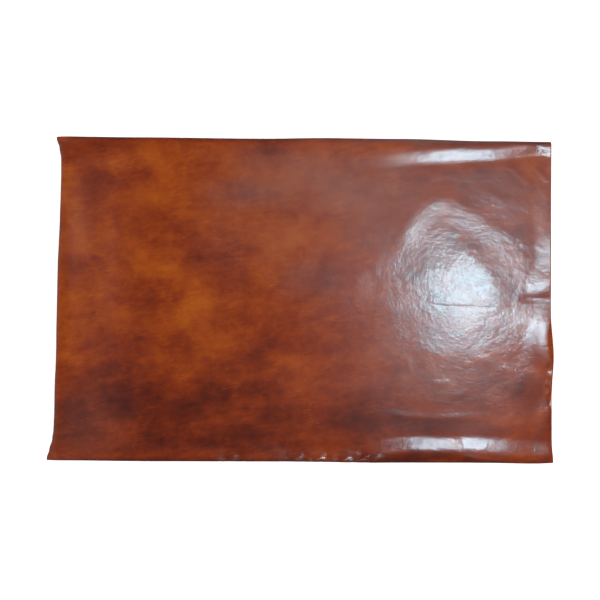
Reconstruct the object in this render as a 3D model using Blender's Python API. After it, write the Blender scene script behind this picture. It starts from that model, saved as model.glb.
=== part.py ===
"""A cut panel of glazed cowhide, lying grain side up with its left rim rolled under.

Metres, +Z up. X runs along the panel's length and Y along its width. The origin is under the
middle of the panel, on the surface that it lies on.
"""

import math
from collections import namedtuple

import bmesh
import bpy
import numpy as np

MM = 0.001

# Driving dimensions
THICKNESS = 1.5 * MM
FLAT_LENGTH = 457 * MM
FLAT_WIDTH = 297 * MM

# Left cut, a straight line between its two corners
LEFT_CORNER_BOTTOM = (-231.4 * MM, -146.3 * MM)
LEFT_CORNER_TOP = (-222.4 * MM, 149.2 * MM)

# Rolled rim: the sheet curls under over ROLL_REACH, and climbs up to that curl over CLIMB_REACH
ROLL_REACH = 10.6 * MM
ROLL_STEPS = 10
CLIMB_REACH = 80 * MM
PROFILE_STEPS = 320

# place is where a row stands along its edge, in mm from the panel's middle
Slope = namedtuple("Slope", "from_cut, angle")
Cut = namedtuple("Cut", "place, edge")
Roll = namedtuple("Roll", "place, turn, climb")
Rim = namedtuple("Rim", "place, lift, reach, crest, droop")

# How steeply the sheet climbs to the rolled rim, in degrees, at distances in from the cut in mm
CLIMB = [
    Slope(ROLL_REACH / MM, 0.0),
    Slope(20, 13.2),
    Slope(30, 11.4),
    Slope(50, 5.4),
    Slope(80, 0.0),
]

# edge is how far out the cut lies, in mm
TOP_CUT = [
    Cut(-222, 149.1),
    Cut(-155, 148.5),
    Cut(-30, 147.3),
    Cut(20, 147.9),
    Cut(90, 147.1),
    Cut(175, 144.9),
    Cut(230, 144.2),
]
BOTTOM_CUT = [
    Cut(-231, -146.0),
    Cut(-130, -147.3),
    Cut(-30, -147.5),
    Cut(75, -148.5),
    Cut(165, -148.6),
    Cut(215, -149.4),
    Cut(232, -148.9),
]
RIGHT_CUT = [
    Cut(-149, 231.4),
    Cut(-130, 230.1),
    Cut(-88, 230.0),
    Cut(-50, 231.8),
    Cut(-10, 229.3),
    Cut(60, 229.4),
    Cut(144, 229.6),
]

# turn is how far the rim has curled at the cut, in degrees, and climb the share of the full climb
ROLLED_RIM = [
    Roll(-146, 20, 0.45),
    Roll(-137, 70, 0.76),
    Roll(-126, 108, 0.96),
    Roll(-118, 130, 1.01),
    Roll(-104, 136, 1.02),
    Roll(-80, 126, 1.00),
    Roll(-52, 136, 1.02),
    Roll(-20, 122, 1.00),
    Roll(32, 112, 1.00),
    Roll(75, 130, 1.02),
    Roll(110, 131, 1.02),
    Roll(128, 118, 1.00),
    Roll(139, 84, 0.84),
    Roll(149, 30, 0.48),
]

# The sheet rises by lift from reach to crest, both measured in from the cut, and then falls by
# droop to the cut itself. All four are in mm.
TOP_RIM = [
    Rim(-222, 0.9, 30, 5, 0.7),
    Rim(-120, 1.8, 34, 5, 1.2),
    Rim(-30, 1.0, 28, 4, 0.6),
    Rim(50, 0.9, 26, 6, 0.6),
    Rim(100, 1.5, 27, 7, 1.2),
    Rim(160, 1.6, 24, 6, 1.3),
    Rim(213, 1.2, 17, 4, 0.9),
    Rim(230, 1.5, 18, 3, 0.6),
]
BOTTOM_RIM = [
    Rim(-228, 1.4, 24, 4, 0.7),
    Rim(-150, 0.9, 20, 4, 0.6),
    Rim(-70, 1.4, 18, 2, 0.2),
    Rim(0, 0.8, 18, 3, 0.3),
    Rim(30, 1.6, 20, 1, 0.1),
    Rim(90, 1.7, 26, 7, 1.2),
    Rim(160, 2.0, 26, 7, 1.4),
    Rim(200, 1.6, 22, 6, 1.2),
    Rim(230, 1.2, 18, 5, 0.8),
]
RIGHT_RIM = [
    Rim(-145, 1.1, 24, 4, 0.6),
    Rim(-100, 0.9, 22, 4, 0.5),
    Rim(-60, 0.8, 24, 6, 0.6),
    Rim(-32, 1.5, 28, 6, 1.4),
    Rim(-14, 1.4, 26, 3, 0.6),
    Rim(-2, 0.4, 18, 2, 0.2),
    Rim(8, 1.3, 24, 1, 0.1),
    Rim(45, 1.4, 24, 1, 0.1),
    Rim(80, 0.8, 20, 2, 0.2),
    Rim(110, 0.5, 18, 2, 0.2),
    Rim(140, 1.3, 18, 2, 0.3),
]

# Low swell where the sheet stands a little off the surface
SWELL_CENTRE = (-105 * MM, 38 * MM)
SWELL_RADII = (62 * MM, 84 * MM)
SWELL_HEIGHT = 1.2 * MM

# Mesh stations, in mm in from the cuts; the field between them is divided evenly
LEFT_STATIONS = [13, 16, 20, 25, 31, 38, 47, 58, 69, 80]
RIGHT_STATIONS = [30, 24, 18, 13, 9, 5, 2, 0]
RIM_STATIONS = [0, 2, 5, 9, 13, 18, 24, 31]
FIELD_STEP = 14 * MM


def smooth_step(share):
    """Ease from 0 to 1 with no slope at either end."""
    held = min(max(share, 0.0), 1.0)
    return held * held * (3.0 - 2.0 * held)


def row_at(table, place):
    """The table's columns at a place along the edge, eased from one row to the next."""
    if place <= table[0].place * MM:
        return table[0]
    for before, after in zip(table, table[1:]):
        if place <= after.place * MM:
            share = (place / MM - before.place) / (after.place - before.place)
            eased = smooth_step(share)
            return type(before)(*(a + (b - a) * eased for a, b in zip(before, after)))
    return table[-1]


def cut_at(table, place):
    return row_at(table, place).edge * MM


def left_cut_at(y):
    (x_bottom, y_bottom), (x_top, y_top) = LEFT_CORNER_BOTTOM, LEFT_CORNER_TOP
    return x_bottom + (x_top - x_bottom) * (y - y_bottom) / (y_top - y_bottom)


def rolled_profile(y):
    """The sheet's middle line across the rolled rim: distance from the cut, run along X, rise."""
    roll = row_at(ROLLED_RIM, y)
    from_cut = np.linspace(0.0, CLIMB_REACH, PROFILE_STEPS + 1)
    curl = -roll.turn * np.clip(1.0 - from_cut / ROLL_REACH, 0.0, 1.0)
    climb = roll.climb * np.interp(from_cut / MM, *zip(*CLIMB))
    angle = np.radians(curl + climb)
    step = CLIMB_REACH / PROFILE_STEPS
    # The line is followed inwards from the flat sheet, so the flat sheet stays where it is.
    run = np.append(np.cumsum((np.cos(angle[:-1]) + np.cos(angle[1:]))[::-1])[::-1], 0.0)
    rise = np.append(np.cumsum((np.sin(angle[:-1]) + np.sin(angle[1:]))[::-1])[::-1], 0.0)
    return from_cut, CLIMB_REACH - run * step / 2, rise * step / 2


def rim_height(table, place, inset):
    """How far a rim stands above the flat sheet, at a distance in from its cut."""
    rim = row_at(table, place)
    reach, crest = rim.reach * MM, rim.crest * MM
    if inset >= crest:
        return rim.lift * MM * smooth_step((reach - inset) / (reach - crest))
    return (rim.lift - rim.droop * (1.0 - inset / crest) ** 2) * MM


def swell_height(x, y):
    across = (x - SWELL_CENTRE[0]) / SWELL_RADII[0]
    along = (y - SWELL_CENTRE[1]) / SWELL_RADII[1]
    return SWELL_HEIGHT * max(1.0 - across * across - along * along, 0.0) ** 2


def stations(first, last, total):
    """Distances from one cut to the opposite one: close together near both, even between."""
    near = [distance * MM for distance in first]
    far = [total - distance * MM for distance in last]
    fields = math.ceil((far[0] - near[-1]) / FIELD_STEP)
    field = np.linspace(near[-1], far[0], fields + 1)[1:-1]
    return near + list(field) + far


def sheet_point(from_left, from_bottom):
    """A point of the sheet's middle surface, from its distances along the flat sheet."""
    y_level = -FLAT_WIDTH / 2 + from_bottom
    x_left = left_cut_at(y_level)
    x_flat = x_left + from_left * (cut_at(RIGHT_CUT, y_level) - x_left) / FLAT_LENGTH
    low, high = cut_at(BOTTOM_CUT, x_flat), cut_at(TOP_CUT, x_flat)
    y = low + (high - low) * from_bottom / FLAT_WIDTH
    x, rolled_rise = x_flat, 0.0
    if from_left < CLIMB_REACH:
        from_cut, run, rise = rolled_profile(y)
        x = x_flat + np.interp(from_left, from_cut, run) - from_left
        rolled_rise = np.interp(from_left, from_cut, rise)
    height = (
        rolled_rise
        + rim_height(BOTTOM_RIM, x_flat, y - low)
        + rim_height(TOP_RIM, x_flat, high - y)
        + rim_height(RIGHT_RIM, y, FLAT_LENGTH - from_left)
        + swell_height(x_flat, y)
    )
    return x, y, THICKNESS / 2 + height


def glazed_cowhide():
    material = bpy.data.materials.new("glazed_cowhide")
    material.use_nodes = True
    shader = material.node_tree.nodes["Principled BSDF"]
    shader.inputs["Base Color"].default_value = (0.20, 0.045, 0.020, 1.0)
    shader.inputs["Roughness"].default_value = 0.3
    shader.inputs["Metallic"].default_value = 0.0
    return material


def cowhide_panel():
    """The whole panel: a grid laid out on the sheet's shape and thickened both ways."""
    roll = list(np.linspace(0, ROLL_REACH / MM, ROLL_STEPS + 1))
    lengths = stations(roll + LEFT_STATIONS, RIGHT_STATIONS, FLAT_LENGTH)
    widths = stations(RIM_STATIONS, RIM_STATIONS[::-1], FLAT_WIDTH)
    columns, rows = len(lengths) - 1, len(widths) - 1
    sheet = bmesh.new()
    # The grid starts as a unit square about the origin, so a point's place in it counts its cells.
    half_side = 0.5
    bmesh.ops.create_grid(sheet, x_segments=columns, y_segments=rows, size=half_side)
    for vertex in sheet.verts:
        column = round((vertex.co.x + half_side) * columns)
        row = round((vertex.co.y + half_side) * rows)
        vertex.co = sheet_point(lengths[column], widths[row])
    for edge in sheet.edges:
        edge.smooth = not edge.is_boundary
    for face in sheet.faces:
        face.smooth = True
    mesh = bpy.data.meshes.new("cowhide_panel")
    sheet.to_mesh(mesh)
    sheet.free()
    panel = bpy.data.objects.new("cowhide_panel", mesh)
    bpy.context.scene.collection.objects.link(panel)
    mesh.materials.append(glazed_cowhide())
    thicken = panel.modifiers.new("thickness", "SOLIDIFY")
    thicken.thickness = THICKNESS
    thicken.offset = 0.0
    thicken.use_even_offset = True
    return panel


def main():
    for leftover in list(bpy.data.objects):
        bpy.data.objects.remove(leftover)
    cowhide_panel()


main()
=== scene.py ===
# %% [markdown]
# # A glazed cowhide panel
# The real object is one cut panel of cowhide, about 18 by 12 inches and 1.5 mm thick. Its grain
# side was dyed by brush, from amber to oxblood, and then glazed. It lies flat, with its left rim
# rolled under and its other rims lifted a little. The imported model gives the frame: this script
# lays a finer sheet over it, in the same metres, and then dyes, glazes and lights it.

# %% Frame
import math
from collections import namedtuple

import bmesh
import bpy
import numpy as np
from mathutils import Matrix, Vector, noise


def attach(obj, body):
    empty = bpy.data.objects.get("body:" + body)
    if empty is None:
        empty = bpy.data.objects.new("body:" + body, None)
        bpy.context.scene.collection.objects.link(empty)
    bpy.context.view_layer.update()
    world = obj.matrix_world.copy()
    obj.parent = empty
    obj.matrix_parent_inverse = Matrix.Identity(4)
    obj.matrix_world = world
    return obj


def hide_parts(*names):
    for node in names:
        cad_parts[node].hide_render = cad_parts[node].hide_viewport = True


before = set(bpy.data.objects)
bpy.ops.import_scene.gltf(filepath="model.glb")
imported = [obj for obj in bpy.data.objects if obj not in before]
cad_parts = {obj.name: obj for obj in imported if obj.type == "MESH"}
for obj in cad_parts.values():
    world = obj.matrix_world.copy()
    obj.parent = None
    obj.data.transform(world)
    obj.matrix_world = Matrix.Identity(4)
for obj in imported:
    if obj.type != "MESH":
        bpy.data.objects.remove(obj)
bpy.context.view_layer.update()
scene = bpy.context.scene
MM = 0.001

# %% [markdown]
# ## Camera
# The panel is seen from straight above, and its sides stay straight, so the camera stands well
# back with a long lens. An unturned camera already looks down the Z axis with Y up the picture.
# The lens follows from how much of the floor the picture has to show.

# %% Camera
CAMERA_HEIGHT = 1.6
PICTURE_WIDTH = 549 * MM
optics = bpy.data.cameras.new("camera")
optics.sensor_width = 36
optics.lens = optics.sensor_width * CAMERA_HEIGHT / PICTURE_WIDTH
camera = bpy.data.objects.new("camera", optics)
camera.location = (0, 0, CAMERA_HEIGHT)
scene.collection.objects.link(camera)
scene.camera = camera
print("lens in mm:", round(optics.lens, 1))

# %% [markdown]
# ## Tables and how they are read
# The panel's shape is given by a few short tables of sizes along its edges, as a pattern cutter
# would note them. A value between two rows is eased from one to the next, so no edge gets a kink.
# The tables are in mm, and the sheet is in metres.

# %% Reading a table
def eased(share):
    """Go from 0 to 1 with no slope at either end."""
    held = np.clip(share, 0, 1)
    return held * held * (3 - 2 * held)


def along(table, column, places):
    """A column of the table at places along its edge, both in the table's own units."""
    marks = np.array([row.place for row in table], float)
    values = np.array([getattr(row, column) for row in table], float)
    before = np.clip(np.searchsorted(marks, places, side="right") - 1, 0, len(marks) - 2)
    share = (places - marks[before]) / (marks[before + 1] - marks[before])
    return values[before] + (values[before + 1] - values[before]) * eased(share)


print("a quarter of the way is eased to", eased(0.25))

# %% [markdown]
# ## Cut outline
# The hide was cut by hand with a knife, so no side is quite straight. Each table says how far
# out the cut lies at places along that side. The left cut is a straight line, and it only looks
# curved from above because the rim there is rolled under.

# %% Cut outline
FLAT_LENGTH = 457
FLAT_WIDTH = 297
LEFT_CORNERS = ((-231.4, -146.3), (-222.4, 149.2))

Cut = namedtuple("Cut", "place, edge")
TOP_CUT = [
    Cut(-222, 149.1),
    Cut(-155, 148.5),
    Cut(-30, 147.3),
    Cut(20, 147.9),
    Cut(90, 147.1),
    Cut(175, 144.9),
    Cut(230, 144.2),
]
BOTTOM_CUT = [
    Cut(-231, -146.0),
    Cut(-130, -147.3),
    Cut(-30, -147.5),
    Cut(75, -148.5),
    Cut(165, -148.6),
    Cut(215, -149.4),
    Cut(232, -148.9),
]
RIGHT_CUT = [
    Cut(-149, 231.4),
    Cut(-130, 230.1),
    Cut(-88, 230.0),
    Cut(-50, 231.8),
    Cut(-10, 229.3),
    Cut(60, 229.4),
    Cut(144, 229.6),
]


def flat_outline(from_left, from_bottom):
    """Where the sheet's points lie when the left rim isn't rolled, and its lower and upper cuts."""
    (x_bottom, y_bottom), (x_top, y_top) = LEFT_CORNERS
    level = from_bottom - FLAT_WIDTH / 2
    left = x_bottom + (x_top - x_bottom) * (level - y_bottom) / (y_top - y_bottom)
    x = left + from_left * (along(RIGHT_CUT, "edge", level) - left) / FLAT_LENGTH
    low, high = along(BOTTOM_CUT, "edge", x), along(TOP_CUT, "edge", x)
    return x, low + (high - low) * from_bottom / FLAT_WIDTH, low, high


print("the cuts are given at", len(TOP_CUT + BOTTOM_CUT + RIGHT_CUT), "places")

# %% [markdown]
# ## Grid
# A sheet that bends needs its faces close together where it bends most. The grid is laid out by
# its distances in from the left and the lower cut: under half a millimetre apart on the roll,
# one to one and a half at the cuts and where the finest creases are, and two or more elsewhere.

# %% Grid
Run = namedtuple("Run", "start, end, cells")
LENGTH_RUNS = [
    Run(0, 10.6, 22),
    Run(10.6, 80, 36),
    Run(80, 312, 88),
    Run(312, 446, 92),
    Run(446, FLAT_LENGTH, 11),
]
WIDTH_RUNS = [
    Run(0, 26, 26),
    Run(26, 134, 46),
    Run(134, 150, 15),
    Run(150, 271, 54),
    Run(271, FLAT_WIDTH, 21),
]


def spread(runs):
    """Distances from one cut to the other, even within each run."""
    parts = [np.linspace(run.start, run.end, run.cells, endpoint=False) for run in runs]
    return np.append(np.concatenate(parts), runs[-1].end)


lengths, widths = spread(LENGTH_RUNS), spread(WIDTH_RUNS)
from_left, from_bottom = np.meshgrid(lengths, widths)
x_flat, y_flat, low_cut, high_cut = flat_outline(from_left, from_bottom)
print("grid:", len(lengths) - 1, "by", len(widths) - 1, "cells")

# %% [markdown]
# ## Rolled left rim
# Leather that was kept rolled up keeps a curl. The last centimetre on the left turns under by up
# to 136 degrees, and the sheet climbs up to it over 100 mm. A bend that can't stretch is found by
# following its slope: the script adds up small steps from the flat sheet out to each point.

# %% Rolled left rim
ROLL_REACH = 10.6
CLIMB_REACH = 100
BEND_STEPS = 200  # small steps that each bend is added up from

Slope = namedtuple("Slope", "place, angle")
CLIMB = [
    Slope(ROLL_REACH, 0.0),
    Slope(18, 7.4),
    Slope(40, 7.5),
    Slope(54, 6.8),
    Slope(68, 4.6),
    Slope(82, 2.8),
    Slope(100, 0.0),
]
Roll = namedtuple("Roll", "place, turn, climb")
ROLLED_RIM = [
    Roll(-146, 20, 0.45),
    Roll(-137, 70, 0.76),
    Roll(-126, 108, 0.96),
    Roll(-118, 130, 1.01),
    Roll(-104, 136, 1.02),
    Roll(-80, 126, 1.00),
    Roll(-52, 136, 1.02),
    Roll(-20, 122, 1.00),
    Roll(32, 112, 1.00),
    Roll(75, 130, 1.02),
    Roll(110, 131, 1.02),
    Roll(128, 118, 1.00),
    Roll(139, 84, 0.84),
    Roll(149, 30, 0.48),
]


def bend(distance, y):
    """Shift along X and rise of the points at one distance from the left cut."""
    places = np.linspace(distance, CLIMB_REACH, BEND_STEPS + 1)
    curl = np.outer(along(ROLLED_RIM, "turn", y), np.clip(1 - places / ROLL_REACH, 0, 1))
    slope = np.interp(places, [row.place for row in CLIMB], [row.angle for row in CLIMB])
    climb = np.outer(along(ROLLED_RIM, "climb", y), slope)
    angle = np.radians(climb - curl)
    step = (CLIMB_REACH - distance) / BEND_STEPS
    middles = (angle[:, :-1] + angle[:, 1:]) / 2
    run, rise = np.cos(middles).sum(1) * step, np.sin(middles).sum(1) * step
    return CLIMB_REACH - run - distance, rise


shift = np.zeros_like(x_flat)
height = np.zeros_like(x_flat)
for column in np.flatnonzero(lengths < CLIMB_REACH):
    shift[:, column], height[:, column] = bend(lengths[column], y_flat[:, column])
print("rolled rim stands", round(height.max(), 2), "mm above the flat sheet")

# %% [markdown]
# ## Lifted rims
# The other three cuts curl up a little and droop again at the very edge, which catches narrow
# bands of light along them. Each row says how high the rim lifts, from how far in it starts,
# where it crests, and how far it falls from there to the cut. A crest below zero lies beyond the
# cut, so that rim still climbs where it ends. A low swell near the left is where the hide
# doesn't quite touch the table.

# %% Lifted rims
Rim = namedtuple("Rim", "place, lift, reach, crest, droop")
TOP_RIM = [
    Rim(-222, 0.9, 30, 5, 0.7),
    Rim(-120, 1.8, 34, 5, 1.2),
    Rim(-30, 1.0, 28, 4, 0.6),
    Rim(50, 0.7, 32, 6, 0.5),
    Rim(75, 0.95, 30, 6, 0.8),
    Rim(95, 1.10, 27, 6, 1.0),
    Rim(125, 1.20, 24, 6, 1.2),
    Rim(160, 1.10, 21, 4, 1.0),
    Rim(190, 1.15, 18, 3, 0.8),
    Rim(212, 1.10, 14, 2, 0.5),
    Rim(230, 0.8, 14, 2, 0.3),
]
BOTTOM_RIM = [
    Rim(-228, 1.4, 24, 4, 0.7),
    Rim(-150, 0.9, 20, 4, 0.6),
    Rim(-78, 0.9, 18, 3, 0.4),
    Rim(-68, 1.3, 11, -5, 0),
    Rim(-54, 1.3, 11, -5, 0),
    Rim(-45, 0.8, 18, 3, 0.5),
    Rim(-22, 0.8, 18, 3, 0.4),
    Rim(-12, 1.4, 12, -5, 0),
    Rim(34, 1.4, 12, -5, 0),
    Rim(44, 1.0, 16, 1, 0.3),
    Rim(52, 1.3, 13, -4, 0),
    Rim(66, 1.2, 18, 1, 0.3),
    Rim(76, 1.1, 23, 6, 0.8),
    Rim(95, 1.15, 25, 10, 1.0),
    Rim(130, 1.10, 25, 9, 1.0),
    Rim(160, 1.20, 25, 8, 1.0),
    Rim(200, 1.15, 24, 5, 0.9),
    Rim(230, 0.95, 21, 5, 0.6),
]
RIGHT_RIM = [
    Rim(-145, 0.2, 20, 4, 0.2),
    Rim(-104, 0.3, 20, 4, 0.3),
    Rim(-92, 0.4, 10, -4, 0),
    Rim(-66, 0.5, 12, -4, 0),
    Rim(-58, 0.5, 26, 4, 0.3),
    Rim(-48, 0.95, 28, 5, 0.9),
    Rim(-32, 0.80, 28, 5, 0.7),
    Rim(-22, 0.60, 22, 1, 0.1),
    Rim(-13, 0.5, 13, -5, 0),
    Rim(-5, 0.1, 18, -2, 0),
    Rim(4, 0.6, 24, -2, 0),
    Rim(12, 1.1, 26, -4, 0),
    Rim(28, 0.85, 16, -8, 0),
    Rim(60, 0.9, 17, -8, 0),
    Rim(74, 0.6, 18, -6, 0),
    Rim(88, 0.4, 20, -2, 0),
    Rim(110, 0.3, 18, -2, 0),
    Rim(124, 0.7, 16, -6, 0),
    Rim(140, 0.9, 16, -6, 0),
]
RIM_STRETCH = 7
RIM_SAMPLES = 9
LEAST_CREST = 0.001  # so that no droop is divided by zero
SWELL_CENTRE = (-105, 38)
SWELL_RADII = (62, 84)
SWELL_HEIGHT = 1.2


def drifting(table, column, places):
    """A column of the table, averaged over a stretch each way so that no row shows."""
    marks = [row.place for row in table]
    values = [getattr(row, column) for row in table]
    shifts = np.linspace(-RIM_STRETCH, RIM_STRETCH, RIM_SAMPLES)
    return np.mean([np.interp(places + shift, marks, values) for shift in shifts], axis=0)


def rim_height(table, places, inset):
    """How far a rim stands above the flat sheet, at a distance in from its cut."""
    lift, reach, crest, droop = (drifting(table, name, places) for name in Rim._fields[1:])
    inside = lift * eased((reach - inset) / (reach - crest))
    past_crest = np.clip(1 - inset / np.maximum(crest, LEAST_CREST), 0, 1)
    outside = lift - droop * past_crest ** 2
    return np.where(inset >= crest, inside, outside)


def swell_height(x, y):
    """A round swell with soft borders."""
    across = (x - SWELL_CENTRE[0]) / SWELL_RADII[0]
    upwards = (y - SWELL_CENTRE[1]) / SWELL_RADII[1]
    return SWELL_HEIGHT * np.clip(1 - across ** 2 - upwards ** 2, 0, 1) ** 2


height += rim_height(BOTTOM_RIM, x_flat, y_flat - low_cut)
height += rim_height(TOP_RIM, x_flat, high_cut - y_flat)
height += rim_height(RIGHT_RIM, y_flat, FLAT_LENGTH - from_left)
height += swell_height(x_flat, y_flat)
print("lifted rims reach", round(height[:, from_left[0] > CLIMB_REACH].max(), 2), "mm")

# %% [markdown]
# ## Folds and creases
# The soft ridges and troughs in the hide are what break its big highlight into arcs. They are
# given one by one, each as a line of points with a height and a width in mm: a positive height is
# a ridge and a negative one a trough. A broad one tilts the hide a little over a hand's width, and
# a narrow one is a crease. Cutting the corners of each line twice rounds it, and a fold fades out
# towards both ends, each over nearly a third of its length.

# %% Folds and creases
Fold = namedtuple("Fold", "height, width, path")
END_FADE = 0.3
CORNER_NEAR, CORNER_FAR = 0.75, 0.25
FOLDS = [
    Fold(0.60, 52.0, [(-20, 140), (60, 140), (160, 140), (215, 136), (290, 130)]),
    Fold(0.19, 10.0, [(88, 24), (91, 42), (96, 58), (104, 75), (116, 89), (130, 94), (145, 92),
                      (160, 86)]),
    Fold(0.09, 8.0, [(112, 92), (128, 93), (145, 85), (162, 76), (182, 63), (206, 55), (228, 50)]),
    Fold(-0.03, 10.0, [(124, 60), (138, 66), (152, 65), (166, 57), (180, 44), (192, 29), (200, 12),
                       (203, -6)]),
    Fold(0.20, 10.0, [(138, 56), (149, 48), (158, 38), (166, 27), (175, 14), (182, 2),
                      (181, -14)]),
    Fold(0.06, 5.0, [(146, 100), (168, 99), (188, 91), (208, 87), (232, 84)]),
    Fold(0.08, 7.0, [(104, 30), (118, 28), (134, 28), (150, 28)]),
    Fold(0.19, 22.0, [(88, 46), (92, 62), (99, 82), (114, 98), (134, 103)]),
    Fold(0.08, 12.0, [(98, -26), (108, -38), (124, -50), (146, -54), (168, -49), (186, -38)]),
    Fold(-0.09, 9.0, [(65, -2), (66, 12), (66, 28)]),
    Fold(-0.05, 1.4, [(112, 33), (120, 31), (130, 31), (140, 33)]),
    Fold(-0.06, 7.0, [(60, 6), (78, 4), (96, 1), (112, 3), (124, 2)]),
    Fold(-0.06, 1.5, [(106, 1), (118, -3), (130, -5.5), (145, -6), (165, -7.5), (188, -7)]),
    Fold(-0.06, 1.5, [(162, 14), (170, 17), (176, 17)]),
    Fold(0.10, 2.2, [(188, 124), (200, 115), (215, 103)]),
    Fold(0.10, 2.2, [(214, 122), (230, 106)]),
    Fold(-0.08, 2.6, [(209, 146), (216, 140), (224, 131), (230, 123)]),
    Fold(0.10, 3.0, [(45, -103), (90, -105), (130, -108), (185, -106)]),
    Fold(-0.12, 1.0, [(143, -124), (146, -130), (148, -137), (148, -142)]),
    Fold(-0.06, 1.0, [(138, -126), (146, -131)]),
    Fold(0.45, 2.6, [(144, -142), (166, -147), (195, -149)]),
    Fold(-0.20, 3.0, [(198, 0), (213, 1), (232, 2)]),
    Fold(0.60, 26.0, [(234, -90), (232, -60), (230, -30), (230, 4)]),
    Fold(0.80, 50.0, [(0, -150), (70, -150), (150, -150), (240, -150)]),
    Fold(0.90, 60.0, [(0, -60), (-4, 20), (0, 90), (20, 190)]),
    Fold(0.13, 15.0, [(73, 20), (73, 32), (76, 48), (82, 66), (92, 84), (108, 100)]),
    Fold(0.06, 2.2, [(120, -76), (130, -77), (139, -75)]),
    Fold(0.07, 2.2, [(132, -87), (142, -87), (153, -86)]),
    Fold(0.08, 2.2, [(97, -50), (100, -62), (103, -74)]),
    Fold(0.07, 2.4, [(158, -52), (170, -55), (180, -60)]),
    Fold(0.07, 2.4, [(172, -62), (186, -62), (200, -67)]),
    Fold(0.12, 7.0, [(-203, 95), (-199, 66), (-203, 48), (-200, 30)]),
    Fold(0.10, 6.0, [(-176, 88), (-174, 62), (-178, 44)]),
]


def rounded(path, passes=2):
    """The same line with its corners cut off, again and again."""
    line = np.array(path, float)
    for _ in range(passes):
        early = CORNER_NEAR * line[:-1] + CORNER_FAR * line[1:]
        late = CORNER_FAR * line[:-1] + CORNER_NEAR * line[1:]
        between = np.stack([early, late], 1).reshape(-1, 2)
        line = np.vstack([line[:1], between, line[-1:]])
    return line


def fold_height(fold, x, y):
    """The fold's height at every point of the sheet."""
    line = rounded(fold.path)
    spans = np.linalg.norm(np.diff(line, axis=0), axis=1)
    travelled = np.append(0, np.cumsum(spans))
    nearest = np.full(x.shape, np.inf)
    place = np.zeros(x.shape)
    for start, end, span, before in zip(line, line[1:], spans, travelled):
        share = ((x - start[0]) * (end[0] - start[0]) + (y - start[1]) * (end[1] - start[1]))
        share = np.clip(share / span ** 2, 0, 1)
        distance = np.hypot(x - start[0] - share * (end[0] - start[0]),
                            y - start[1] - share * (end[1] - start[1]))
        closer = distance < nearest
        nearest = np.where(closer, distance, nearest)
        place = np.where(closer, before + share * span, place)
    from_end = np.minimum(place, travelled[-1] - place) / travelled[-1]
    return fold.height * np.exp(-(nearest / fold.width) ** 2) * eased(from_end / END_FADE)


for fold in FOLDS:
    height += fold_height(fold, x_flat, y_flat)
print(len(FOLDS), "folds and creases")

# %% [markdown]
# ## Loose hide
# Between its folds a hide is never flat: it waves softly, and it is slightly puckered where the
# fibres pull. Both are fractal noise: the waves are from a finger's length down to a pencil's
# width, and the puckers are narrower still. A patch is a soft oval, given by its middle, its
# half-sizes and its tilt from level in degrees. Here the patches say where the puckers are deep,
# and how deep in mm, and one wide patch calms the waves where the highlight lies. The waves fade
# out on the roll, and a small lift keeps the deepest of them above the table.
#
# A fractal adds up finer and finer waves. Its last three numbers say how fast they weaken, how
# much finer each is than the one before, and how many there are. The noise starts from a fixed
# seed, so the hide comes out the same each time.

# %% Loose hide
Wave = namedtuple("Wave", "length, height, stretch, offset")
WAVES = [
    Wave(52, 0.26, 1.0, Vector((3.1, 7.7, 0.4))),
    Wave(20, 0.045, 1.3, Vector((8.2, 1.9, 5.3))),
    Wave(8, 0.010, 1.0, Vector((5.5, 4.2, 9.1))),
]
HIDE_SEED = 7
TABLE_GAP = 0.35
PUCKER_LENGTH = 7.0
PUCKER_OFFSET = Vector((2.2, 6.1, 3.3))
LOOSE_START, LOOSE_REACH = 10, 25
DEEPEST_TROUGH = -0.2
Patch = namedtuple("Patch", "x, y, long, wide, tilt, tone")
PUCKERED_PLACES = [
    Patch(196, 26, 22, 40, 0, 0.034), Patch(155, 62, 34, 14, -10, 0.018),
    Patch(110, 70, 22, 18, 0, 0.014), Patch(80, 25, 22, 40, 0, 0.008),
    Patch(190, -50, 34, 16, 0, 0.018), Patch(140, -80, 30, 12, 0, 0.014),
    Patch(140, 132, 60, 10, 0, 0.035), Patch(150, -134, 60, 8, 0, 0.030),
    Patch(10, -146, 28, 5, 0, 1.400), Patch(-61, -146, 11, 5, 0, 1.400),
    Patch(58, -144, 16, 5, 0, 1.000), Patch(229, -78, 3, 20, 0, 0.900),
]
SMOOTH_PLACE = Patch(150, 10, 95, 95, 0, 0.85)


def patch_tone(patch, x, y):
    """A soft oval patch, strongest at its middle."""
    turn = math.radians(patch.tilt)
    over = (x - patch.x) * math.cos(turn) + (y - patch.y) * math.sin(turn)
    across = (y - patch.y) * math.cos(turn) - (x - patch.x) * math.sin(turn)
    return patch.tone * np.exp(-(over / patch.long) ** 2 - (across / patch.wide) ** 2)


def pucker_at(x, y):
    """The puckers' height as a share of their depth, turned so that the noise shows no rows."""
    spot = Vector((x - y / 2, y + x / 2, 0)) / PUCKER_LENGTH + PUCKER_OFFSET
    return noise.fractal(spot, 0.7, 2.0, 3)


def waves_at(x, y):
    """The height of all the waves together, in mm."""
    total = 0.0
    for wave in WAVES:
        spot = Vector((x / wave.length / wave.stretch, y / wave.length, 0)) + wave.offset
        total += wave.height * noise.fractal(spot, 0.9, 2.0, 2)
    return total


noise.seed_set(HIDE_SEED)
waves = np.vectorize(waves_at)(x_flat, y_flat) * (1 - patch_tone(SMOOTH_PLACE, x_flat, y_flat))
pucker_depth = sum(patch_tone(patch, x_flat, y_flat) for patch in PUCKERED_PLACES)
waves += pucker_depth * np.vectorize(pucker_at)(x_flat, y_flat)
loose = eased((from_left - LOOSE_START) / LOOSE_REACH)
in_field = from_left >= CLIMB_REACH
height = np.where(in_field, np.maximum(height, DEEPEST_TROUGH), height) + waves * loose
height += TABLE_GAP
print("waves from", round(waves.min(), 2), "to", round(waves.max(), 2), "mm")
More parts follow.
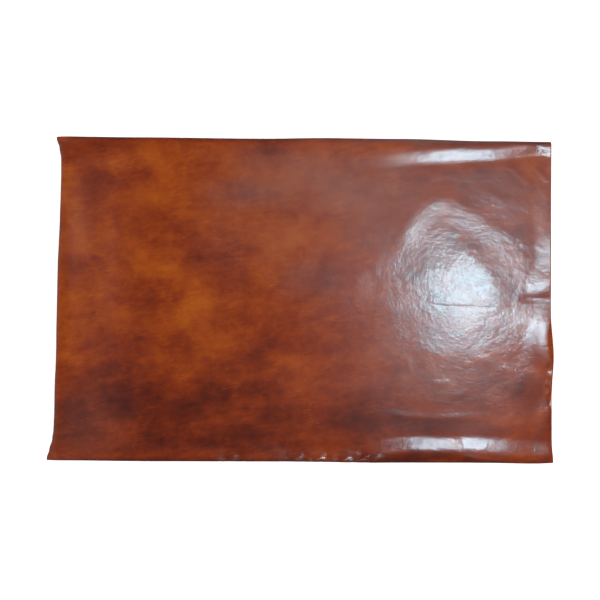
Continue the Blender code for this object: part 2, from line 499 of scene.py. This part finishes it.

# %% [markdown]
# ## Brushed dye: dark patches
# The dye went on with a wide brush in several passes, so it lies in soft patches: dark where it
# pooled and amber where the hide shows through. They could be painted on an image, but a list of
# soft ovals needs no other file and is easy to change. A tone below zero is darker than the
# ground, and a wide, faint oval under small, strong ones makes a zone.

# %% Brushed dye, dark patches
DARK_DYE_AND_SHADE_PATCHES = [
    Patch(-192, 138, 25, 10, 0, -0.22), Patch(-180, 112, 26, 12, 5, -0.30),
    Patch(-172, 108, 10, 6, 0, -0.16), Patch(-145, 116, 15, 6, 10, -0.18),
    Patch(-187, 78, 9, 24, 5, -0.24), Patch(-128, 74, 22, 9, 5, -0.15),
    Patch(-112, 64, 15, 6, 0, -0.14), Patch(-208, 30, 16, 12, 8, -0.26),
    Patch(-180, 31, 22, 5, 5, -0.14), Patch(-141, 0, 28, 13, 6, -0.30),
    Patch(-48, 96, 28, 8, 0, -0.22), Patch(-28, 136, 30, 9, 0, -0.28),
    Patch(-80, 38, 30, 14, 4, -0.20), Patch(-97, 38, 14, 7, 0, -0.20),
    Patch(-65, 10, 22, 12, 0, -0.18), Patch(-8, 80, 10, 6, 0, -0.10),
    Patch(12, 20, 26, 13, 0, -0.20), Patch(-192, -12, 12, 3, 6, -0.20),
    Patch(-155, -38, 22, 11, 8, -0.24), Patch(-168, -42, 6, 4, 0, -0.14),
    Patch(-108, -42, 16, 8, 0, -0.20), Patch(-185, -65, 26, 9, 12, -0.26),
    Patch(-160, -85, 32, 13, 10, -0.23), Patch(-155, -99, 25, 8, 8, -0.14),
    Patch(-76, -86, 22, 11, 15, -0.29), Patch(-108, -100, 28, 9, 10, -0.22),
    Patch(-36, -82, 12, 6, 0, -0.12), Patch(-34, -42, 18, 9, 60, -0.20),
    Patch(-50, -54, 16, 8, 10, -0.16), Patch(-133, -124, 22, 9, 6, -0.26),
    Patch(-46, -124, 28, 10, 5, -0.26), Patch(-20, -104, 25, 8, 5, -0.20),
    Patch(-85, -131, 15, 5, 0, -0.24), Patch(8, -42, 10, 8, 0, -0.14),
    Patch(-208, -95, 14, 8, 0, -0.12), Patch(-165, -93, 64, 36, 0, -0.14),
    Patch(30, -82, 14, 12, 0, -0.14), Patch(60, -112, 35, 9, 0, -0.20),
    Patch(135, -117, 34, 8, 0, -0.30), Patch(155, -97, 15, 12, 0, -0.20),
    Patch(205, -80, 20, 10, 0, -0.24), Patch(155, 50, 20, 12, 0, -0.10),
    Patch(155, 110, 45, 14, 4, -0.22), Patch(185, 112, 12, 6, 30, -0.18),
    Patch(-60, -118, 150, 38, 4, -0.30), Patch(130, -110, 110, 34, 0, -0.20),
    Patch(-120, -70, 80, 26, 8, -0.12), Patch(-190, -128, 50, 24, 0, -0.12),
    Patch(-35, -28, 60, 36, 0, -0.12), Patch(-140, -42, 44, 20, 0, -0.10),
    # The thin dark oval along the top cut, at (130, 144), is painted shade of the drooping rim, not
    # dye.
    Patch(130, 144, 75, 4, 0, -0.45), Patch(-212, -124, 24, 26, 0, -0.15),
    Patch(105, -145, 50, 5, 0, -0.50), Patch(130, 20, 100, 80, 0, -0.26),
    Patch(-35, -45, 60, 20, 10, -0.10), Patch(-164, -25, 14, 8, 0, -0.13),
    Patch(97, 101, 14, 9, 0, -0.12), Patch(-173, -126, 14, 7, 0, -0.09),
    Patch(-26, -17, 10, 7, 0, -0.10), Patch(152, 72, 15, 10, 0, -0.18),
    Patch(-195, 137, 12, 5, 0, -0.08), Patch(126, 88, 20, 8, 0, -0.11),
    Patch(-22, -91, 10, 7, 0, -0.14), Patch(-121, -22, 10, 7, 0, -0.13),
    Patch(-64, -104, 14, 7, 0, -0.10), Patch(-70, -77, 14, 7, 0, -0.08),
    Patch(-104, -74, 14, 7, 0, -0.09),
]
print(len(DARK_DYE_AND_SHADE_PATCHES), "dark patches")

# %% [markdown]
# ## Brushed dye: pale patches and painted sheen
# Where the brush ran dry, or the hide was stroked before the dye had sunk in, it is amber. These
# patches are laid over the dark ones, with a tone above zero. A few tall, narrow ones on the left
# rise are painted sheen of the light on that slope.

# %% Brushed dye, pale patches and painted sheen
# The tall, narrow patches at (-211, 105), (-214, 68), (-200, 62) and (-175, 62) are painted sheen
# on the left rise; the rest is dye.
PALE_DYE_AND_SHEEN_PATCHES = [
    Patch(-211, 105, 10, 20, 0, 0.30), Patch(-160, 130, 25, 8, 0, 0.16),
    Patch(-130, 126, 26, 8, -55, 0.26), Patch(-112, 95, 18, 12, 0, 0.16),
    Patch(-66, 128, 15, 6, 60, 0.16), Patch(-20, 113, 25, 10, 0, 0.16),
    Patch(-87, 68, 5, 12, 0, 0.16), Patch(-92, 72, 16, 12, 0, 0.10),
    Patch(-50, 75, 20, 9, 0, 0.18), Patch(-200, 62, 7, 22, 0, 0.18),
    Patch(-175, 62, 6, 15, 0, 0.14), Patch(-195, 48, 14, 8, 0, 0.14),
    Patch(-110, 48, 18, 8, 0, 0.16), Patch(-132, 31, 26, 9, 4, 0.26),
    Patch(-112, 22, 12, 12, 0, 0.16), Patch(-93, -2, 9, 16, 0, 0.22),
    Patch(-25, 50, 22, 16, 0, 0.16), Patch(-28, 22, 20, 9, 0, 0.18),
    Patch(-212, 2, 12, 10, 0, 0.14), Patch(-190, 3, 14, 6, 0, 0.10),
    Patch(-168, -13, 40, 9, -8, 0.18), Patch(-195, -30, 25, 10, 0, 0.16),
    Patch(-212, -50, 8, 14, 0, 0.16), Patch(-187, -48, 8, 5, 0, 0.12),
    Patch(-102, -9, 22, 11, 35, 0.26), Patch(-90, -30, 25, 9, -45, 0.24),
    Patch(-80, -41, 24, 11, 0, 0.34), Patch(-130, -30, 14, 10, 0, 0.14),
    Patch(-122, -56, 28, 7, 8, 0.20), Patch(-108, -68, 22, 7, 20, 0.18),
    Patch(-157, -121, 16, 9, 0, 0.18), Patch(-6, -57, 24, 11, 0, 0.30),
    Patch(5, -72, 15, 16, 0, 0.20), Patch(12, -95, 14, 9, 0, 0.14),
    Patch(-48, -71, 22, 4, 12, 0.18), Patch(-70, -110, 30, 6, 10, 0.11),
    Patch(-10, -118, 35, 12, 0, 0.20), Patch(8, 58, 25, 20, 0, 0.12),
    Patch(48, 88, 20, 12, 0, 0.12), Patch(15, 140, 25, 6, 0, 0.16),
    Patch(88, 141, 20, 5, 0, 0.18), Patch(62, -20, 12, 22, 0, 0.14),
    Patch(70, -62, 22, 12, 0, 0.14), Patch(188, -112, 18, 7, 0, 0.22),
    Patch(216, -62, 10, 10, 0, 0.18), Patch(212, 118, 10, 14, 0, 0.22),
    Patch(-122, 100, 32, 42, 0, 0.10), Patch(-205, 80, 22, 26, 0, 0.08),
    Patch(-120, -118, 24, 16, 0, 0.08), Patch(124, -100, 28, 7, 0, 0.23),
    Patch(-22, 48, 20, 14, 0, 0.20), Patch(20, 66, 18, 12, 0, 0.14),
    Patch(-75, 117, 14, 8, 0, 0.14), Patch(-104, 136, 14, 6, 0, 0.16),
    Patch(-99, 85, 12, 8, 0, 0.13), Patch(-112, -124, 14, 8, 0, 0.14),
    Patch(-137, -121, 10, 6, 0, 0.12), Patch(28, -96, 13, 9, 0, 0.18),
    Patch(-60, -124, 12, 7, 0, 0.10), Patch(-41, -50, 8, 6, 0, 0.10),
    Patch(-195, -11, 12, 5, 0, 0.12), Patch(-203, 35, 12, 6, 0, 0.08),
    Patch(-30, 79, 10, 6, 0, 0.08), Patch(-214, 68, 8, 18, 0, 0.12),
    Patch(175, -113, 22, 8, 0, 0.24), Patch(28, 57, 12, 9, 0, 0.12),
    Patch(-35, -126, 12, 7, 0, 0.12), Patch(12, 98, 14, 9, 0, 0.10),
    Patch(99, -63, 6, 10, 0, 0.15),
]
print(len(PALE_DYE_AND_SHEEN_PATCHES), "light patches")

# %% [markdown]
# ## Brushed dye: spreading it
# Real dye has no oval borders. Each point looks up the patches a few millimetres off its own
# place, as far as noise moves it, which frays and clouds their edges. Faint clouds and long
# streaks go on top. The tone is kept as an attribute of the mesh, which the material reads.

# %% Brushed dye, spread over the sheet
DYE_GROUND = 0.56
PATCH_STRENGTH = 0.75
FRAY = 5.5
FRAY_STRETCH = 1.3
LONG_FRAY, LONG_SHARE = 26, 0.7
SHORT_FRAY, SHORT_SHARE = 10, 0.35
CLOUD, CLOUD_LENGTH, CLOUD_WIDTH = 0.16, 30, 20
STREAK, STREAK_LENGTH, STREAK_WIDTH, STREAK_SLANT = 0.05, 34, 6.5, 90
CLOUD_SLICE, STREAK_SLICE = 2.5, 6.5  # two levels in the noise, so that the two don't match


def fray(x, y):
    """How far noise moves a place along X and Y, and the tone of clouds and streaks there."""
    spot = Vector((x, y, 0))
    moved = noise.noise_vector(spot / LONG_FRAY) * LONG_SHARE
    moved += noise.noise_vector(spot / SHORT_FRAY) * SHORT_SHARE
    cloud_spot = Vector((x / CLOUD_LENGTH, y / CLOUD_WIDTH, CLOUD_SLICE))
    cloud = noise.fractal(cloud_spot, 0.8, 2.1, 4)
    slanted = y / STREAK_WIDTH - x / STREAK_SLANT
    streak = noise.fractal(Vector((x / STREAK_LENGTH, slanted, STREAK_SLICE)), 0.9, 2.0, 3)
    return moved.x * FRAY * FRAY_STRETCH, moved.y * FRAY, cloud * CLOUD + streak * STREAK


x_fray, y_fray, clouds = np.vectorize(fray)(x_flat, y_flat)
dye_and_painted_light = DYE_GROUND + clouds
# Besides dye, the patches add painted sheen on the left rise and painted shade along the top cut.
for patch in DARK_DYE_AND_SHADE_PATCHES + PALE_DYE_AND_SHEEN_PATCHES:
    dye_and_painted_light += PATCH_STRENGTH * patch_tone(patch, x_flat + x_fray, y_flat + y_fray)
print("dye tone from", round(dye_and_painted_light.min(), 2), "to", round(dye_and_painted_light.max(), 2))

# %% [markdown]
# ## Bloom and painted light
# Wax rises out of a glaze in time and leaves a grey-mauve bloom, here mostly above the middle. The
# same pale colour is also painted round the highlight as the haze of its light, up the left rise
# as its sheen, and along the top cut as a tint on the painted shade of the drooping rim. Its
# patches fray with the dye's, and it is a second attribute, so that the material can mix a paler
# colour in.

# %% Bloom and painted light
CLOUDED_BLOOM_AND_PAINTED_LIGHT = 2
# Round the highlight, the patches with x from 80 to 205 mm paint the grey haze of its light, except
# the thin one along the top cut at (125, 144), which tints the painted shade of the drooping rim.
# The tall one at (-206, 70) paints the sheen on the left rise. The rest are wax bloom.
BLOOM_AND_PAINTED_LIGHT_PATCHES = [
    Patch(-48, 98, 34, 14, 0, 0.30), Patch(10, 112, 60, 26, 0, 0.26),
    Patch(45, 100, 40, 30, 0, 0.28), Patch(8, 22, 30, 16, 0, 0.20),
    Patch(-28, 128, 40, 16, 0, 0.16), Patch(-65, 60, 40, 30, 0, 0.10),
    Patch(150, 108, 60, 18, 0, 0.22), Patch(90, 70, 40, 40, 0, 0.18),
    Patch(-206, 70, 12, 44, 0, 0.18), Patch(0, 70, 50, 30, 0, 0.10),
    Patch(125, 144, 80, 4, 0, 0.45), Patch(-200, -115, 34, 34, 0, 0.12),
    Patch(110, -78, 66, 22, 0, 0.18), Patch(205, 95, 28, 44, 0, 0.18),
    Patch(80, -45, 28, 26, 0, 0.14), Patch(-22, 48, 22, 16, 0, 0.10),
    Patch(88, 122, 16, 10, 0, 0.24), Patch(160, -66, 36, 12, 0, 0.18),
    Patch(145, -106, 52, 10, 0, 0.12), Patch(99, -63, 7, 11, 0, 0.15),
]
bloom_and_painted_light = sum(patch_tone(patch, x_flat + x_fray, y_flat + y_fray) for patch in BLOOM_AND_PAINTED_LIGHT_PATCHES)
bloom_and_painted_light = np.clip(bloom_and_painted_light * (1 + CLOUDED_BLOOM_AND_PAINTED_LIGHT * clouds), 0, 1)
print("strongest bloom:", round(bloom_and_painted_light.max(), 2))

# %% [markdown]
# ## Darker rims
# Within the last millimetre or two of each cut the colour is darker than the field. A third
# attribute holds how near each point is to a cut, for the material to darken and dull. The right
# cut gets next to none of it, and the roll little.

# %% Darker rims
RIM_REACH = 2.4
RIGHT_CUT_REACH, RIGHT_CUT_SHARE = 4, 0.03
ROLLED_SHARE = 0.3
rim_distance = np.minimum.reduce([
    from_left, FLAT_LENGTH - from_left, y_flat - low_cut, high_cut - y_flat,
])
rim_nearness = np.exp(-(rim_distance / RIM_REACH) ** 2)
rim_nearness[from_left > FLAT_LENGTH - RIGHT_CUT_REACH] *= RIGHT_CUT_SHARE
rim_nearness[from_left < ROLL_REACH] *= ROLLED_SHARE
print("points near a cut:", int((rim_nearness > 0.5).sum()))

# %% [markdown]
# ## The sheet itself
# Bmesh makes a plain square grid, and each of its points is then moved to its place on the bent
# hide. Solidify gives the sheet its thickness, with the flesh side and the cut edge as materials
# of their own, and a narrow bevel takes the sharpness off both edges of the cut.

# %% The sheet itself
THICKNESS = 1.5
EDGE_ROUNDING = 0.22
SHARP_TURN = math.radians(60)


def sheet_mesh(name, x, y, z, layers):
    """A grid whose points lie at x, y, z in mm, with a float attribute for each layer."""
    rows, columns = x.shape
    half_side = 0.5
    sheet = bmesh.new()
    bmesh.ops.create_grid(sheet, x_segments=columns - 1, y_segments=rows - 1, size=half_side)
    attributes = {title: sheet.verts.layers.float.new(title) for title in layers}
    for vertex in sheet.verts:
        column = round((vertex.co.x + half_side) * (columns - 1))
        row = round((vertex.co.y + half_side) * (rows - 1))
        vertex.co = Vector((x[row, column], y[row, column], z[row, column])) * MM
        for title, attribute in attributes.items():
            vertex[attribute] = layers[title][row, column]
    for face in sheet.faces:
        face.smooth = True
    mesh = bpy.data.meshes.new(name)
    sheet.to_mesh(mesh)
    sheet.free()
    return mesh


# The dye and bloom attributes also carry painted sheen, haze and shade.
hide_mesh = sheet_mesh(
    "glazed_hide", x_flat + shift, y_flat, height + THICKNESS / 2,
    {"dye_and_painted_light": dye_and_painted_light, "bloom_and_painted_light": bloom_and_painted_light, "rim": rim_nearness},
)
hide = bpy.data.objects.new("glazed_hide", hide_mesh)
scene.collection.objects.link(hide)
thicken = hide.modifiers.new("thickness", "SOLIDIFY")
thicken.thickness = THICKNESS * MM
thicken.offset = 0
thicken.use_even_offset = True
thicken.material_offset = 1
thicken.material_offset_rim = 2
soften = hide.modifiers.new("softened cut", "BEVEL")
soften.width = EDGE_ROUNDING * MM
soften.segments = 2
soften.profile = 0.5
soften.limit_method = "ANGLE"
soften.angle_limit = SHARP_TURN
print("grid faces:", len(hide_mesh.polygons))

# %% [markdown]
# ## Wiring nodes
# Each material below is a tree of nodes. This helper adds one node and fills in its sockets: a
# value is typed into the socket, and another node's socket is linked to it.

# %% Wiring nodes
def add_node(tree, kind, sockets=None, **settings):
    """A node with its settings made and its sockets filled in or linked."""
    node = tree.nodes.new(kind)
    for name, value in settings.items():
        setattr(node, name, value)
    for socket, value in (sockets or {}).items():
        if isinstance(value, bpy.types.NodeSocket):
            tree.links.new(value, node.inputs[socket])
        else:
            node.inputs[socket].default_value = value
    return node


def math_node(tree, operation, first, second):
    """The result of a Math node on two sockets or values."""
    node = add_node(tree, "ShaderNodeMath", {0: first, 1: second}, operation=operation)
    return node.outputs[0]


def noise_node(tree, place, size, detail=2.0, roughness=0.5, distortion=0.0):
    """Noise whose waves are about size mm long."""
    node = add_node(tree, "ShaderNodeTexNoise", {
        "Vector": place, "Scale": 1 / (size * MM), "Detail": detail,
        "Roughness": roughness, "Distortion": distortion,
    })
    return node.outputs["Fac"]


def ramp_node(tree, factor, stops):
    """A colour ramp with (place, colour) stops."""
    node = add_node(tree, "ShaderNodeValToRGB", {"Fac": factor})
    ramp = node.color_ramp
    while len(ramp.elements) < len(stops):
        ramp.elements.new(1.0)
    for element, (place, colour) in zip(ramp.elements, stops):
        element.position = place
        element.color = (*colour, 1)
    return node.outputs["Color"]


def new_material(name):
    """A material, its tree and its Principled BSDF."""
    material = bpy.data.materials.new(name)
    material.use_nodes = True
    tree = material.node_tree
    return material, tree, tree.nodes["Principled BSDF"]


# %% [markdown]
# ## Grain
# The grain side has three sizes of relief: the grain itself, about a millimetre and a half across,
# the creases that gather it, and soft puckers over half a centimetre long. They are too fine for
# the mesh, so a Bump node makes them. Each row gives a size and a depth in mm. The Height is in
# metres and the Bump node's Distance is 1, which keeps every depth real. The noise has no finer
# detail, because relief smaller than the picture can show turns into flicker.

# %% Grain
Relief = namedtuple("Relief", "size, depth, distortion")
GRAIN = [
    Relief(1.4, 0.027, 0.3),
    Relief(2.6, 0.024, 0.4),
    Relief(6.0, 0.055, 0.5),
]


def grain_height(tree, place):
    """Height of the grain in metres."""
    total = 0.0
    for relief in GRAIN:
        wave = noise_node(tree, place, relief.size, detail=0.0, distortion=relief.distortion)
        part = math_node(tree, "MULTIPLY", wave, relief.depth * MM)
        total = math_node(tree, "ADD", part, total)
    return total


print("grain sizes in mm:", [relief.size for relief in GRAIN])

# %% [markdown]
# ## Glazed grain side
# Brushed dye under a glaze has three looks at once: a deep, uneven colour, a sharp shine that the
# grain breaks up, and a wide haze from the wax on top. The colour is a ramp from oxblood to amber
# that follows the dye attribute, which also holds painted sheen on the left rise and painted shade
# along the top cut. A second attribute mixes in a grey-mauve for the wax bloom and for painted
# haze round the highlight. Four kinds of noise, with their sizes in mm, roughen that tone: long
# brush strokes, a mottle, a fine hatch, and thin light veins. A vein runs where a stretched noise
# passes through its middle value, and a wide noise lets veins through only here and there. The
# sharp shine is the base layer with the grain as its bump, and the haze is a rougher coat.

# %% Glazed grain side
DYE_RAMP = [
    (0.00, (0.052, 0.0080, 0.0048)),
    (0.22, (0.092, 0.0130, 0.0048)),
    (0.45, (0.160, 0.0225, 0.0050)),
    (0.68, (0.230, 0.0400, 0.0050)),
    (1.00, (0.305, 0.0710, 0.0058)),
]
BLOOM_AND_PAINTED_LIGHT_COLOUR = (0.190, 0.098, 0.085)
STROKE_TURN = math.radians(11)
STROKE_TONE, MOTTLE_TONE, HATCH_TONE = 0.33, 0.50, 0.09
VEIN_WIDTH, VEIN_TONE = 0.030, 0.20
VEINS_FROM, VEINS_TO = 0.46, 0.66
STROKES_FROM, STROKES_TO = 0.3, 0.7
SHARPEST_SHINE, DULLEST_SHINE = 0.155, 0.185
RIM_DARKENING = 0.35
RIM_DULLING = 0.35

glaze, tree, shader = new_material("glazed_grain_side")
coordinates = add_node(tree, "ShaderNodeTexCoord").outputs["Object"]


def brushed(stretch):
    """Places turned to the brush's direction, so that noise is stretched along it."""
    return add_node(
        tree, "ShaderNodeMapping",
        {"Vector": coordinates, "Rotation": (0, 0, STROKE_TURN), "Scale": (stretch, 1, 1)},
        vector_type="TEXTURE",
    ).outputs["Vector"]


def around_zero(tone, strength):
    """A tone from 0 to 1, moved to lie around zero and scaled."""
    return math_node(tree, "MULTIPLY", math_node(tree, "SUBTRACT", tone, 0.5), strength)


dye_and_painted_light_tone = add_node(tree, "ShaderNodeAttribute", attribute_name="dye_and_painted_light").outputs["Fac"]
rim_tone = add_node(tree, "ShaderNodeAttribute", attribute_name="rim").outputs["Fac"]
strokes = noise_node(tree, brushed(3.4), 4.0, detail=5.0, roughness=0.65, distortion=0.5)
mottle = noise_node(tree, coordinates, 9.0, detail=6.0, roughness=0.66, distortion=0.4)
hatch = noise_node(tree, brushed(2.2), 1.6, detail=3.0, roughness=0.6)
veins = noise_node(tree, brushed(9), 5.0, detail=2.0, roughness=0.55, distortion=0.3)
vein_line = add_node(tree, "ShaderNodeMapRange", {
    "Value": math_node(tree, "ABSOLUTE", math_node(tree, "SUBTRACT", veins, 0.5), 0.0),
    "From Min": 0.0, "From Max": VEIN_WIDTH, "To Min": 1.0, "To Max": 0.0,
}).outputs["Result"]
vein_share = add_node(tree, "ShaderNodeMapRange", {
    "Value": noise_node(tree, coordinates, 26.0, detail=2.0),
    "From Min": VEINS_FROM, "From Max": VEINS_TO, "To Min": 0.0, "To Max": VEIN_TONE,
}).outputs["Result"]
fine_tone = math_node(
    tree, "ADD", around_zero(mottle, MOTTLE_TONE), around_zero(hatch, HATCH_TONE),
)
vein_tone = math_node(tree, "MULTIPLY", vein_line, vein_share)
fine_tone = math_node(tree, "ADD", fine_tone, vein_tone)
fine_tone = math_node(tree, "ADD", around_zero(strokes, STROKE_TONE), fine_tone)
tone = math_node(tree, "ADD", dye_and_painted_light_tone, fine_tone)
tone = math_node(tree, "SUBTRACT", tone, math_node(tree, "MULTIPLY", rim_tone, RIM_DARKENING))
# A grey-mauve is mixed in where the second attribute says: wax bloom, and painted haze, sheen and
# rim shade.
bloom_and_painted_light_share = add_node(tree, "ShaderNodeAttribute", attribute_name="bloom_and_painted_light").outputs["Fac"]
colour = add_node(
    tree, "ShaderNodeMix",
    {0: bloom_and_painted_light_share, 6: ramp_node(tree, tone, DYE_RAMP), 7: (*BLOOM_AND_PAINTED_LIGHT_COLOUR, 1)},
    data_type="RGBA",
).outputs[2]
tree.links.new(colour, shader.inputs["Base Color"])
shine = add_node(tree, "ShaderNodeMapRange", {
    "Value": strokes, "From Min": STROKES_FROM, "From Max": STROKES_TO,
    "To Min": SHARPEST_SHINE, "To Max": DULLEST_SHINE,
}).outputs["Result"]
wear = math_node(tree, "MULTIPLY", rim_tone, RIM_DULLING)
tree.links.new(math_node(tree, "ADD", shine, wear), shader.inputs["Roughness"])
bump = add_node(
    tree, "ShaderNodeBump",
    {"Height": grain_height(tree, coordinates), "Strength": 1.0, "Distance": 1.0},
)
tree.links.new(bump.outputs["Normal"], shader.inputs["Normal"])
shader.inputs["IOR"].default_value = 1.5
shader.inputs["Coat Weight"].default_value = 0.46
shader.inputs["Coat Roughness"].default_value = 0.33
shader.inputs["Coat IOR"].default_value = 1.45
print("grain side:", len(tree.nodes), "nodes")

# %% [markdown]
# ## Fibres
# Away from its grain side, leather is a felt of loose fibres. The flesh side and the cut edge
# both show it, so it is a node group with named sockets, placed in each of the two materials
# with a Fineness of its own, in waves per metre. It gives back a mask of light and dark fibres
# and their height.

# %% Fibres
fibres = bpy.data.node_groups.new("leather_fibres", "ShaderNodeTree")
fibres.interface.new_socket("Place", in_out="INPUT", socket_type="NodeSocketVector")
size_socket = fibres.interface.new_socket("Fineness", in_out="INPUT",
                                          socket_type="NodeSocketFloat")
size_socket.default_value = 900
fibres.interface.new_socket("Mask", in_out="OUTPUT", socket_type="NodeSocketFloat")
fibres.interface.new_socket("Height", in_out="OUTPUT", socket_type="NodeSocketFloat")
fibre_in = fibres.nodes.new("NodeGroupInput").outputs
fibre_out = fibres.nodes.new("NodeGroupOutput").inputs
FIBRE_DEPTH = 0.10
strands = add_node(fibres, "ShaderNodeTexNoise", {
    "Vector": fibre_in["Place"], "Scale": fibre_in["Fineness"], "Detail": 4.0,
    "Roughness": 0.65, "Distortion": 1.6,
}).outputs["Fac"]
fibres.links.new(strands, fibre_out["Mask"])
fibres.links.new(math_node(fibres, "MULTIPLY", strands, FIBRE_DEPTH * MM), fibre_out["Height"])


def fibre_material(name, fineness, stops, roughness):
    """A rough material whose colour and relief follow the fibres."""
    material, tree, shader = new_material(name)
    place = add_node(tree, "ShaderNodeTexCoord").outputs["Object"]
    group = add_node(tree, "ShaderNodeGroup", node_tree=fibres)
    tree.links.new(place, group.inputs["Place"])
    group.inputs["Fineness"].default_value = fineness
    tree.links.new(ramp_node(tree, group.outputs["Mask"], stops), shader.inputs["Base Color"])
    relief = add_node(tree, "ShaderNodeBump", {"Height": group.outputs["Height"],
                                               "Strength": 1.0, "Distance": 1.0})
    tree.links.new(relief.outputs["Normal"], shader.inputs["Normal"])
    shader.inputs["Roughness"].default_value = roughness
    return material, shader


print("fibre group:", len(fibres.nodes), "nodes")

# %% [markdown]
# ## Flesh side and cut edge
# The flesh side is undyed suede, tan and matt, with a little sheen from its nap. The cut edge is
# the same fibre, but dye has soaked into it, so it is dark and close.

# %% Flesh side and cut edge
flesh, flesh_shader = fibre_material("flesh_side", 900, [
    (0.30, (0.16, 0.085, 0.045)),
    (0.50, (0.25, 0.140, 0.078)),
    (0.72, (0.36, 0.220, 0.130)),
], 0.92)
flesh_shader.inputs["Sheen Weight"].default_value = 0.25
flesh_shader.inputs["Sheen Roughness"].default_value = 0.5
edge, _ = fibre_material("cut_edge", 1500, [
    (0.30, (0.030, 0.010, 0.006)),
    (0.55, (0.065, 0.022, 0.012)),
    (0.75, (0.110, 0.045, 0.024)),
], 0.6)
for material in (glaze, flesh, edge):
    hide.data.materials.append(material)
print("materials:", [material.name for material in hide.data.materials])

# %% [markdown]
# ## Floor
# The panel lies on a plain white plate that glows a little from below, as a photographer's light
# table does, so its soft shadow stays almost white.

# %% Floor
FLOOR_HALF_SIDE = 12.0
FLOOR_GLOW = 0.45
FLOOR_DEPTH = 0.02
floor_mesh = bpy.data.meshes.new("floor")
plate = bmesh.new()
bmesh.ops.create_grid(plate, x_segments=1, y_segments=1, size=FLOOR_HALF_SIDE)
bmesh.ops.translate(plate, verts=plate.verts, vec=(0, 0, -FLOOR_DEPTH * MM))
plate.to_mesh(floor_mesh)
plate.free()
floor = bpy.data.objects.new("floor", floor_mesh)
scene.collection.objects.link(floor)
floor.visible_glossy = False
pale, _, floor_shader = new_material("pale_floor")
floor_shader.inputs["Base Color"].default_value = (0.9, 0.9, 0.9, 1)
floor_shader.inputs["Roughness"].default_value = 0.9
floor_shader.inputs["Emission Color"].default_value = (1, 1, 1, 1)
floor_shader.inputs["Emission Strength"].default_value = FLOOR_GLOW
floor_mesh.materials.append(pale)
print("floor side in m:", 2 * FLOOR_HALF_SIDE)

# %% [markdown]
# ## Lights
# One round, bluish softbox hangs just beside the camera. A flat sheet mirrors it to the right of
# its middle, and the rims and folds bend it into bands. Four larger softboxes round the table
# give the colour its even light. They are left out of reflections, so that the glaze mirrors one
# softbox only, as in the photo. A brightness is kept apart from the softbox's size, because the
# size alone should set how wide a highlight is.

# %% Lights
Softbox = namedtuple("Softbox", "name, place, target, side, brightness, colour, shape")
KEY_BRIGHTNESS = 64.0
KEY_COLOUR = (0.60, 0.87, 1.0)
FILL_BRIGHTNESS = 6.7
FILL_COLOUR = (1.0, 0.99, 0.97)
FILL_SIDE, FILL_REACH, FILL_HEIGHT = 1.2, 1.35, 1.75
SOFTBOXES = [
    Softbox("key", (0.255, 0.010, 1.1), (0.151, 0.006, 0), 0.10, KEY_BRIGHTNESS,
            KEY_COLOUR, "DISK"),
]
for across, back in ((1, 1), (-1, 1), (-1, -1), (1, -1)):
    SOFTBOXES.append(Softbox(
        f"fill_{across}_{back}", (across * FILL_REACH, back * FILL_REACH, FILL_HEIGHT),
        (0, 0, 0), FILL_SIDE, FILL_BRIGHTNESS, FILL_COLOUR, "SQUARE",
    ))

for box in SOFTBOXES:
    light = bpy.data.lights.new(box.name, "AREA")
    light.shape = box.shape
    light.size = box.side
    area = box.side ** 2 * (math.pi / 4 if box.shape == "DISK" else 1)
    light.energy = box.brightness * math.pi * area
    light.color = box.colour
    lamp = bpy.data.objects.new(box.name, light)
    lamp.location = box.place
    aim = Vector(box.target) - Vector(box.place)
    lamp.rotation_euler = aim.to_track_quat("-Z", "Y").to_euler()
    lamp.visible_camera = False
    lamp.visible_glossy = box.name == "key"
    scene.collection.objects.link(lamp)
    print(box.name, "gives", round(light.energy, 1), "W")

# %% [markdown]
# ## Room
# A glaze also mirrors the room. Near the horizon it is a mid grey, which gives the rolled rim a
# soft shine, and overhead it is almost dark, so that the flat part keeps its deep colour. The
# direction's height decides between the two. The Standard view transform shows the colours as
# they are lit, without a film look.

# %% Room
ROOM_LOW, ROOM_OVERHEAD = 0.18, 0.03
LOW_UNTIL, OVERHEAD_FROM = 0.50, 0.88
room = bpy.data.worlds.new("room")
room.use_nodes = True
scene.world = room
room_tree = room.node_tree
direction = add_node(room_tree, "ShaderNodeTexCoord").outputs["Generated"]
upwards = add_node(room_tree, "ShaderNodeSeparateXYZ", {"Vector": direction}).outputs["Z"]
brightness = add_node(room_tree, "ShaderNodeMapRange", {
    "Value": math_node(room_tree, "ABSOLUTE", upwards, 0.0),
    "From Min": LOW_UNTIL, "From Max": OVERHEAD_FROM,
    "To Min": ROOM_LOW, "To Max": ROOM_OVERHEAD,
}, interpolation_type="SMOOTHSTEP").outputs["Result"]
room_tree.links.new(brightness, room_tree.nodes["Background"].inputs["Strength"])
room_tree.nodes["Background"].inputs["Color"].default_value = (1, 1, 1, 1)
scene.view_settings.view_transform = "Standard"
scene.view_settings.look = "None"
print("room brightness:", ROOM_LOW, "to", ROOM_OVERHEAD)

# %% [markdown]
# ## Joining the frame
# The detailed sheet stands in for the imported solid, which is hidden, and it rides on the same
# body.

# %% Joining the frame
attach(hide, "root")
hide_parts("cowhide_panel")
